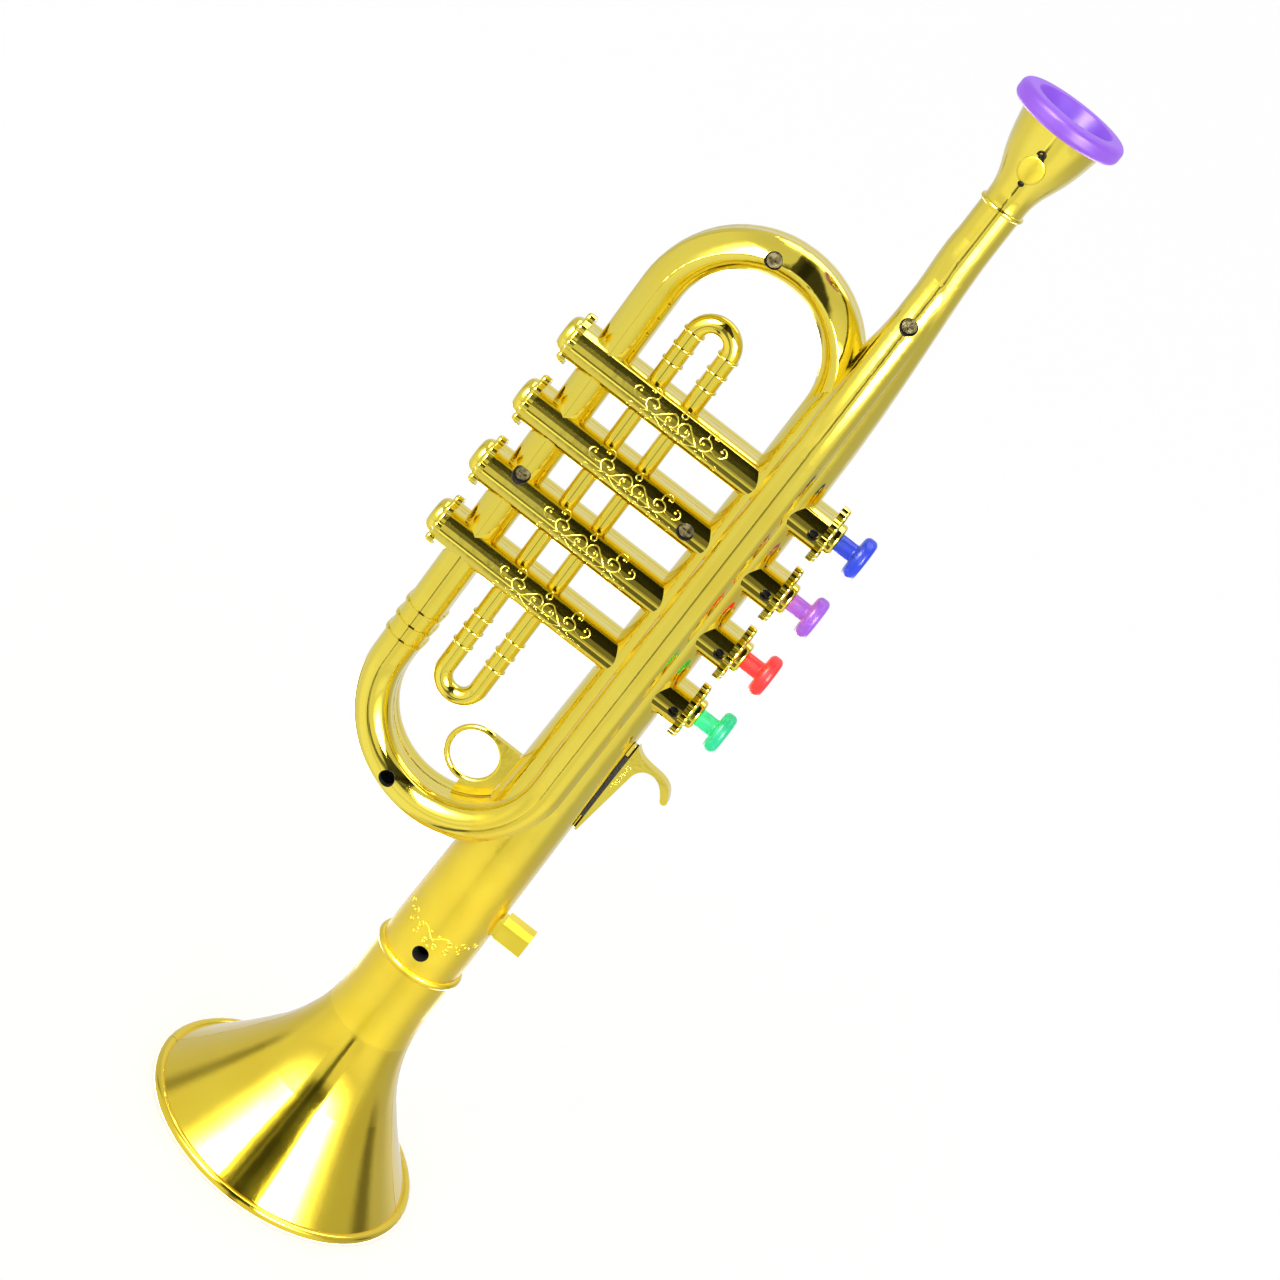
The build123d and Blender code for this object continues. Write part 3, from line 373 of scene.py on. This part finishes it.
# Half-widths of the worn parting line, full and at its edge, its broken grain and how bare it gets
line_full, line_edge = 0.09 * mm, 0.17 * mm
line_grain, grain_start, grain_end = 90.0, 0.35, 0.6
line_bareness = 0.8
# Near-black plastic: bare on the worn parting line, and painted shade in the bores and at the hook's foot
seam_and_shade_plastic, bare_roughness = (0.012, 0.008, 0.003, 1), 0.6
# Weight of the lacquer on the polished skin and on the satin one
polished_coat, satin_coat = 1.0, 0.8
patch_size = 60.0


def plated(name, bores=(), parted=False, shaded_below_x=None):
    """Gold plating with painted shade on the walls of its bores or on a foot at the case, and a bare parting
    line.
    """
    material = bpy.data.materials.new(name)
    material.use_nodes = True
    tree = material.node_tree
    skin = tree.nodes["Principled BSDF"]
    skin.inputs["Coat Roughness"].default_value = 0.04
    place = join_nodes(tree, "ShaderNodeTexCoord").outputs["Object"]
    axes = join_nodes(tree, "ShaderNodeSeparateXYZ", [(0, place)]).outputs
    # The polished skin and the satin one
    looks = [
        join_nodes(
            tree,
            "ShaderNodeGroup",
            [("Place", place), ("Size", patch_size), ("Deep", deep), ("Pale", pale)]
            + [("Least Roughness", least), ("Most Roughness", most), ("Relief", relief)],
            node_tree=wear,
        ).outputs
        for deep, pale, least, most, relief in (
            ((1.0, 0.79, 0.052, 1), (1.0, 0.83, 0.075, 1), 0.06, 0.10, 0.00002),
            ((0.98, 0.71, 0.024, 1), (1.0, 0.76, 0.036, 1), 0.32, 0.36, 0.00003),
        )
    ]
    # Satin lies on the main tube alone, not on the loop that passes in front of it
    satin = ramp(tree, axes["Z"], satin_start, satin_full)
    aside_of_axis = join_nodes(tree, "ShaderNodeCombineXYZ", [("X", axes["X"]), ("Y", axes["Y"])]).outputs[0]
    reach = join_nodes(tree, "ShaderNodeVectorMath", [(0, aside_of_axis)], operation="LENGTH")
    on_tube = ramp(tree, reach.outputs["Value"], loop_reach, tube_reach, soft=False)
    below_loop = reckon(tree, "LESS_THAN", axes["Z"], loop_end)
    satin = reckon(tree, "MULTIPLY", satin, reckon(tree, "MAXIMUM", on_tube, below_loop))
    colour = tinted(tree, satin, looks[0]["Colour"], looks[1]["Colour"])
    roughness = between(tree, satin, looks[0]["Roughness"], looks[1]["Roughness"])
    # The flare of the bell is polished again, from a sharp border below its throat
    flare = ramp(tree, axes["Z"], polish_start, polish_full, To_Min=0.0, To_Max=polish_gain)
    roughness = reckon(tree, "SUBTRACT", roughness, flare)
    bare_seam_and_shade = None
    # Painted shade: the walls of the bores are drawn near black
    for across, height, radius in bores:
        mask = join_nodes(
            tree,
            "ShaderNodeGroup",
            [("Across", axes["X"]), ("Up", axes["Z"])]
            + [("Centre Across", across * mm), ("Centre Up", height * mm), ("Radius", radius * mm)],
            node_tree=bore,
        ).outputs[0]
        if bare_seam_and_shade is not None:
            mask = reckon(tree, "MAXIMUM", bare_seam_and_shade, mask)
        bare_seam_and_shade = mask
    if bores:
        # The screws go in from the front, so the back half has no open bores
        bare_seam_and_shade = reckon(tree, "MULTIPLY", bare_seam_and_shade, reckon(tree, "LESS_THAN", axes["Y"], 0.0))
    # Painted shade: below this X the hook is drawn near black where it meets the case
    if shaded_below_x is not None:
        bare_seam_and_shade = reckon(tree, "LESS_THAN", axes["X"], shaded_below_x * mm)
    if parted:
        line = ramp(tree, reckon(tree, "ABSOLUTE", axes["Y"]), line_edge, line_full, soft=False)
        worn = join_nodes(tree, "ShaderNodeTexNoise", [("Vector", place), ("Scale", line_grain)]).outputs[0]
        line = reckon(tree, "MULTIPLY", line, ramp(tree, worn, grain_start, grain_end, soft=False))
        bare_seam_and_shade = reckon(tree, "MAXIMUM", bare_seam_and_shade, reckon(tree, "MULTIPLY", line, line_bareness))
    if bare_seam_and_shade is not None:
        colour = tinted(tree, bare_seam_and_shade, colour, seam_and_shade_plastic)
        shine = reckon(tree, "SUBTRACT", 1.0, bare_seam_and_shade)
        tree.links.new(shine, skin.inputs["Metallic"])
        roughness = between(tree, bare_seam_and_shade, roughness, bare_roughness)
        coat = ramp(tree, satin, 0.0, 1.0, soft=False, To_Min=polished_coat, To_Max=satin_coat)
        tree.links.new(reckon(tree, "MULTIPLY", coat, shine), skin.inputs["Coat Weight"])
    else:
        skin.inputs["Metallic"].default_value = 1.0
        skin.inputs["Coat Weight"].default_value = satin_coat
    tree.links.new(colour, skin.inputs["Base Color"])
    tree.links.new(roughness, skin.inputs["Roughness"])
    tree.links.new(looks[0]["Normal"], skin.inputs["Normal"])
    return material


plated_case = plated("plated_case", case_bores, parted=True)
for name in ("front_shell", "back_shell"):
    nodes[name].material_slots[0].material = plated_case

# Gold fittings: the finger ring, the finger hook, the key bushings and the end caps, moulded
# apart, plated alike and pushed into the case. The hook's base is drawn near black, a painted
# shade where it meets the case.
hook_shade_edge = 12.0
plated_fitting = plated("plated_fitting")
nodes["finger_ring"].material_slots[0].material = plated_fitting
nodes["finger_hook"].material_slots[0].material = plated("plated_hook", shaded_below_x=hook_shade_edge)
for number in range(1, 5):
    nodes[f"valve_bushing_{number}"].material_slots[0].material = plated_fitting
    nodes[f"end_cap_{number}"].material_slots[0].material = plated_fitting


def finished(names, title, deep, pale, rough, size, relief, **sockets):
    """A material of the wear group for some nodes; sockets are the shader's own settings.

    rough is the least and the most roughness, size the scale of the patches, relief a depth.
    """
    material = bpy.data.materials.new(title)
    material.use_nodes = True
    tree = material.node_tree
    body = tree.nodes["Principled BSDF"]
    for socket, value in sockets.items():
        body.inputs[socket.replace("_", " ")].default_value = value
    place = join_nodes(tree, "ShaderNodeTexCoord").outputs["Object"]
    look = join_nodes(
        tree,
        "ShaderNodeGroup",
        [("Place", place), ("Size", size), ("Deep", (*deep, 1)), ("Pale", (*pale, 1))]
        + [("Least Roughness", rough[0]), ("Most Roughness", rough[1]), ("Relief", relief)],
        node_tree=wear,
    ).outputs
    tree.links.new(look["Colour"], body.inputs["Base Color"])
    tree.links.new(look["Roughness"], body.inputs["Roughness"])
    tree.links.new(look["Normal"], body.inputs["Normal"])
    for name in names:
        nodes[name].material_slots[0].material = material
    return material


# Small block: a bevelled plug of the same plated plastic with a duller face. It is moulded apart,
# and its tab sits in a slot of the case beside the throat.
finished(
    ("holder_block",),
    "dull_plating",
    (0.98, 0.76, 0.04),
    (1.0, 0.82, 0.07),
    rough=(0.30, 0.36),
    size=120.0,
    relief=0.00003,
    Metallic=1.0,
    Coat_Weight=0.5,
    Coat_Roughness=0.25,
)

# Mouthpiece: one moulding of soft violet plastic, ring and cup together, with faint flow marks and
# a low sheen. It sits on the open end of the funnel.
finished(
    ("mouthpiece_rim",),
    "violet_plastic",
    (0.33, 0.11, 0.84),
    (0.39, 0.14, 0.94),
    rough=(0.32, 0.40),
    size=60.0,
    relief=0.000008,
    Specular_IOR_Level=0.25,
)

# Keys: four mouldings of bright plastic, disc and stem in one, one colour each, with the same
# sheen. Each slides in the bushing at the right end of its casing.
for name, deep, pale in (
    ("button_blue", (0.018, 0.05, 0.78), (0.03, 0.085, 0.95)),
    ("button_purple", (0.40, 0.11, 0.78), (0.47, 0.14, 0.90)),
    ("button_red", (0.92, 0.032, 0.032), (1.0, 0.05, 0.05)),
    ("button_green", (0.018, 0.72, 0.31), (0.035, 0.84, 0.42)),
):
    finished(
        (name,),
        name.replace("button", "key") + "_plastic",
        deep,
        pale,
        rough=(0.26, 0.34),
        size=70.0,
        relief=0.000006,
        Specular_IOR_Level=0.35,
    )

# Screws: six self-tapping case screws of plated steel with cross recesses, in a dull brass tone,
# and the four small black ones that hold the bushings.
screw_steel = finished(
    ("case_screws",),
    "oiled_screw_steel",
    (0.14, 0.115, 0.05),
    (0.50, 0.42, 0.20),
    rough=(0.22, 0.38),
    size=700.0,
    relief=0.00003,
    Metallic=1.0,
)
# The two lowest screws lie in deep holes, and their heads are drawn black there as painted shade
dark_below = 130 * mm
tree = screw_steel.node_tree
bright = next(link for link in tree.links if link.to_socket.name == "Base Color").from_socket
height = join_nodes(
    tree, "ShaderNodeSeparateXYZ", [(0, join_nodes(tree, "ShaderNodeTexCoord").outputs["Object"])]
).outputs["Z"]
shaded_in_holes = tinted(tree, reckon(tree, "LESS_THAN", height, dark_below), bright, (0.004, 0.004, 0.003, 1))
tree.links.new(shaded_in_holes, tree.nodes["Principled BSDF"].inputs["Base Color"])
finished(
    ("bushing_screws",),
    "black_screw_steel",
    (0.006, 0.006, 0.006),
    (0.02, 0.02, 0.02),
    rough=(0.4, 0.6),
    size=900.0,
    relief=0.00002,
    Metallic=0.6,
)

# Works inside the case: the valve plate and the reed capsules of plain pale plastic, springs of
# drawn steel wire, reeds of rolled brass and pads of black rubber.
finished(
    ("valve_plate", *[f"reed_capsule_{number}" for number in range(1, 5)]),
    "inner_plastic",
    (0.55, 0.54, 0.50),
    (0.66, 0.65, 0.61),
    rough=(0.45, 0.6),
    size=200.0,
    relief=0.00005,
)
finished(
    [f"return_spring_{number}" for number in range(1, 5)],
    "spring_steel",
    (0.32, 0.32, 0.33),
    (0.52, 0.52, 0.53),
    rough=(0.2, 0.35),
    size=700.0,
    relief=0.00002,
    Metallic=1.0,
)
finished(
    [f"reed_{number}" for number in range(1, 5)],
    "reed_brass",
    (0.60, 0.42, 0.14),
    (0.78, 0.58, 0.24),
    rough=(0.2, 0.35),
    size=500.0,
    relief=0.00001,
    Metallic=1.0,
)
finished(
    [f"valve_pad_{number}" for number in range(1, 5)],
    "pad_rubber",
    (0.012, 0.012, 0.012),
    (0.03, 0.03, 0.03),
    rough=(0.6, 0.8),
    size=400.0,
    relief=0.00008,
)

# Scrolls on the casings: a raised line relief of the mould, the same on all four, plated with
# the case. A faint copy of it lies turned over below the crest.
casing_radius = 5.1
casing_forward = 2.9
scroll_centre = -31.0


def raised_lines(name, lines, beads, radius, bead_radius):
    """A flat relief of round lines through points and of beads, X across, Z up, out to -Y."""
    curve = bpy.data.curves.new(name, "CURVE")
    curve.dimensions = "3D"
    curve.bevel_depth = radius * mm
    curve.bevel_resolution = 2
    curve.resolution_u = 6
    for line in lines:
        closed = line[0] == line[-1]
        points = line[:-1] if closed else line
        spline = curve.splines.new("BEZIER")
        spline.bezier_points.add(len(points) - 1)
        spline.use_cyclic_u = closed
        for point, (x, z) in zip(spline.bezier_points, points):
            point.co = (x * mm, 0, z * mm)
            point.handle_left_type = point.handle_right_type = "AUTO"
    curve.use_fill_caps = True
    relief = bpy.data.objects.new(name, curve)
    bpy.context.scene.collection.objects.link(relief)
    bpy.ops.object.select_all(action="DESELECT")
    for x, z in beads:
        bpy.ops.mesh.primitive_uv_sphere_add(
            segments=14, ring_count=8, radius=bead_radius * mm, location=(x * mm, 0, z * mm)
        )
        bead = bpy.context.object
        bead.select_set(True)
        bpy.ops.object.transform_apply()
        bead.name = f"{name}_bead"
    bpy.ops.object.select_all(action="DESELECT")
    relief.select_set(True)
    bpy.context.view_layer.objects.active = relief
    bpy.ops.object.convert(target="MESH")
    for other in [o for o in bpy.data.objects if o.name.startswith(f"{name}_bead")]:
        other.select_set(True)
    bpy.ops.object.join()
    bpy.ops.object.mode_set(mode="EDIT")
    bpy.ops.mesh.select_all(action="SELECT")
    bpy.ops.mesh.remove_doubles(threshold=0.01 * mm)
    bpy.ops.mesh.normals_make_consistent(inside=False)
    bpy.ops.object.mode_set(mode="OBJECT")
    bpy.ops.object.shade_smooth()
    relief.data.name = name
    return relief


half_scroll = (
    [(2.45, 1.46), (3.35, 1.08), (3.48, 0.13), (2.45, -0.58), (1.29, -0.58), (0.39, 0.4), (0.44, 1.59)]
    + [(1.29, 2.58), (2.32, 2.84), (3.48, 2.11), (4.77, 1.08), (6.06, -0.15), (6.96, -0.72), (8.38, -0.64)]
    + [(9.66, 0.13), (10.31, 1.21), (10.0, 2.24), (9.02, 2.84), (7.73, 2.84), (6.83, 2.11), (6.88, 1.21)]
    + [(7.6, 0.68)],
    [(8.38, 2.84), (8.07, 3.97), (8.38, 5.3), (9.41, 6.05), (10.57, 5.3), (10.57, 4.1)],
    [(10.39, 1.08), (11.6, 0.8), (13.0, 0.68), (14.2, 1.34), (14.6, 2.37), (13.9, 3.33), (12.9, 3.4)],
)
half_beads = [(2.58, 0.8), (7.99, 1.26), (9.8, 4.38), (13.0, 2.5)]
drop = [(0, 5.8), (0.5, 4.8), (0.8, 4.0), (0, 3.3), (-0.8, 4.0), (-0.5, 4.8), (0, 5.8)]


def mirrored(lines):
    """Lines and the same lines turned over from right to left."""
    return list(lines) + [[(-x, z) for x, z in line] for line in lines]


left_beads, right_beads = mirrored([half_beads])
upper_lines = [*mirrored(half_scroll), drop]
upper_scroll = raised_lines(
    "casing_scroll", upper_lines, left_beads + right_beads, radius=0.2, bead_radius=0.42
)
# The turned copy is flatter, and starts this far below the crest
under_scale, under_start, scroll_foot = 0.62, 0.75, 0.72
under_lines = [
    [(x, -under_start - under_scale * (z + scroll_foot)) for x, z in line] for line in mirrored(half_scroll)
]
under_scroll = raised_lines("casing_under_scroll", under_lines, [], radius=0.07, bead_radius=0.3)
for model, sunk in ((upper_scroll, 0.0), (under_scroll, 0.03)):
    for number, height in enumerate(valve_heights, 1):
        relief = model.copy()
        relief.data = model.data.copy()
        relief.name = relief.data.name = f"{model.name}_{number}"
        bpy.context.scene.collection.objects.link(relief)
        for vertex in relief.data.vertices:
            across, out, along = vertex.co
            reach = casing_radius * mm - out - sunk * mm
            angle = along / (casing_radius * mm)
            vertex.co = (
                scroll_centre * mm + across,
                -casing_forward * mm - reach * math.cos(angle),
                height * mm + reach * math.sin(angle),
            )
        relief.data.materials.append(plated_fitting)
        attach(relief, "case")
    bpy.data.objects.remove(model)

# Garland on the throat and medallion on the funnel: low reliefs of the mould round the front of
# the main tube. The medallion is an oval cushion between two small knobs, which are drawn near
# black as a painted dark reflection.
front = nodes["front_shell"]
in_front = -0.1


def wrap_round(relief, height_share):
    """Lay a flat relief round the front of the main tube, at the tube's own radius."""
    for vertex in relief.data.vertices:
        across, out, height = vertex.co
        radius = -front.ray_cast((0, in_front, height), (0, 1, 0))[1].y
        reach = radius - out * height_share
        vertex.co = (reach * math.sin(across / radius), -reach * math.cos(across / radius), height)


def curl(x, z, size, start, turns):
    """Points of a small spiral from its outer end inwards."""
    count, shrink = 7, 0.65
    points = []
    for step in range(count):
        angle = math.radians(start) + turns * math.tau * step / (count - 1)
        reach = size * (1 - shrink * step / (count - 1))
        points.append((x + reach * math.cos(angle), z + reach * math.sin(angle)))
    return points


half_garland = [
    [(-4.2, 89.6), (-3.0, 89.3), (-1.6, 88.3), (-0.2, 87.1), (0.6, 86.9)],
    curl(-1.6, 85.3, 0.9, 40, 0.9),
    curl(-5.2, 85.6, 1.1, 60, 0.9),
    curl(-5.0, 88.6, 1.0, 200, 1.0),
    curl(-9.2, 89.6, 1.3, 250, 1.0),
    curl(-8.4, 87.2, 0.9, 90, 0.9),
    curl(-12.6, 90.6, 0.9, 180, 1.0),
]
left_beads, right_beads = mirrored([[(-1.3, 89.0), (-7.0, 88.6), (-11.0, 89.2)]])
garland_beads = [*left_beads, *right_beads, (0, 84.6)]
garland = raised_lines(
    "throat_garland", mirrored(half_garland), garland_beads, radius=0.22, bead_radius=0.4
)
knob_lines = [
    curl(-0.1, 358.5, 1.2, 200, -1.0),
    [(0.9, 357.4), (0.6, 358.2), (0.0, 359.4)],
    [(-0.5, 349.6), (0, 348.9), (0.5, 349.6), (-0.5, 349.6)],
]
knob_beads = [(-0.3, 358.2), (0, 349.4)]
knobs = raised_lines("funnel_knobs", knob_lines, knob_beads, radius=0.34, bead_radius=0.6)
bpy.ops.mesh.primitive_circle_add(vertices=48, radius=1.0, fill_type="NGON", location=(0, 0, 0))
medallion = bpy.context.object
medallion.name = medallion.data.name = "funnel_medallion"
medallion_height, half_width, half_height, buried = 353.8, 3.5, 3.9, 0.22
bpy.ops.object.mode_set(mode="EDIT")
bpy.ops.mesh.select_all(action="SELECT")
bpy.ops.mesh.extrude_region_move(TRANSFORM_OT_translate={"value": (0, 0, 0.3)})
# A rounded edge, then two flat rings that keep the top smooth when it is laid round the tube
for thickness, rise in ((0.09, 0.22), (0.12, 0.06), (0.3, 0.0), (0.25, 0.0)):
    bpy.ops.mesh.inset(thickness=thickness, depth=rise)
bpy.ops.mesh.select_all(action="SELECT")
bpy.ops.mesh.normals_make_consistent(inside=False)
bpy.ops.object.mode_set(mode="OBJECT")
for vertex in medallion.data.vertices:
    x, y, z = vertex.co
    vertex.co = (half_width * mm * x, -(z - buried) * mm, (medallion_height + half_height * y) * mm)
bpy.ops.object.shade_smooth()
# Near-black plastic: a painted dark reflection on the knobs, and painted shade on the strip at the hook's
# foot
bare_gate = finished(
    (),
    "bare_gate",
    (0.012, 0.009, 0.004),
    (0.02, 0.016, 0.008),
    rough=(0.3, 0.4),
    size=400.0,
    relief=0.00001,
    Specular_IOR_Level=0.1,
)
for relief, height_share, finish in (
    (garland, 1.0, plated_case),
    (knobs, 0.8, bare_gate),
    (medallion, 1.0, nodes["holder_block"].material_slots[0].material),
):
    wrap_round(relief, height_share)
    relief.data.materials.append(finish)
    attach(relief, "case")

# Relief on the hook's wedge: small scrolls and two beads in a line, of plated plastic, moulded
# with the hook on the wedge's front face.
hook_face = -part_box("finger_hook")[0][1]
hook_relief = raised_lines(
    "hook_relief",
    [
        curl(13.3, 158.9, 1.0, 270, 1.1),
        curl(13.2, 156.2, 0.8, 90, -1.1),
        curl(13.2, 153.8, 0.9, 270, 1.1),
        [(12.7, 151.8), (13.1, 150.9), (13.3, 149.6)],
    ],
    [(13.4, 157.4), (12.6, 152.6)],
    radius=0.18,
    bead_radius=0.32,
)
for vertex in hook_relief.data.vertices:
    vertex.co.y = vertex.co.y / 2 - hook_face
hook_relief.data.materials.append(plated_fitting)

# Seat of the hook: a low plated rail that closes the slit beside the case, and on it a near-black
# strip at the foot of the wedge, painted shade in the gap between hook and case.
rail_middle, rail_height, rail_depth, rail_round = 150.4, 30.0, 2.4, 0.2
hook_rails = []
for title, left, right, finish in (
    ("hook_seat", 9.0, 11.5, plated_case),
    # The near-black strip of painted shade at the foot of the wedge
    ("hook_foot", 11.4, 12.1, bare_gate),
):
    bpy.ops.mesh.primitive_cube_add(size=1.0, location=(0, 0, 0))
    rail = bpy.context.object
    rail.name = rail.data.name = title
    rail.data.transform(
        Matrix.Translation(((left + right) / 2 * mm, 0, rail_middle * mm))
        @ Matrix.Diagonal(((right - left) * mm, rail_depth * mm, rail_height * mm, 1))
    )
    bpy.ops.object.mode_set(mode="EDIT")
    bpy.ops.mesh.select_all(action="SELECT")
    bpy.ops.mesh.bevel(offset=rail_round * mm, segments=3, affect="EDGES")
    bpy.ops.object.mode_set(mode="OBJECT")
    bpy.ops.object.shade_smooth_by_angle(angle=math.radians(40))
    rail.data.materials.append(finish)
    hook_rails.append(rail)
for piece in [hook_relief] + hook_rails:
    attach(piece, "case")
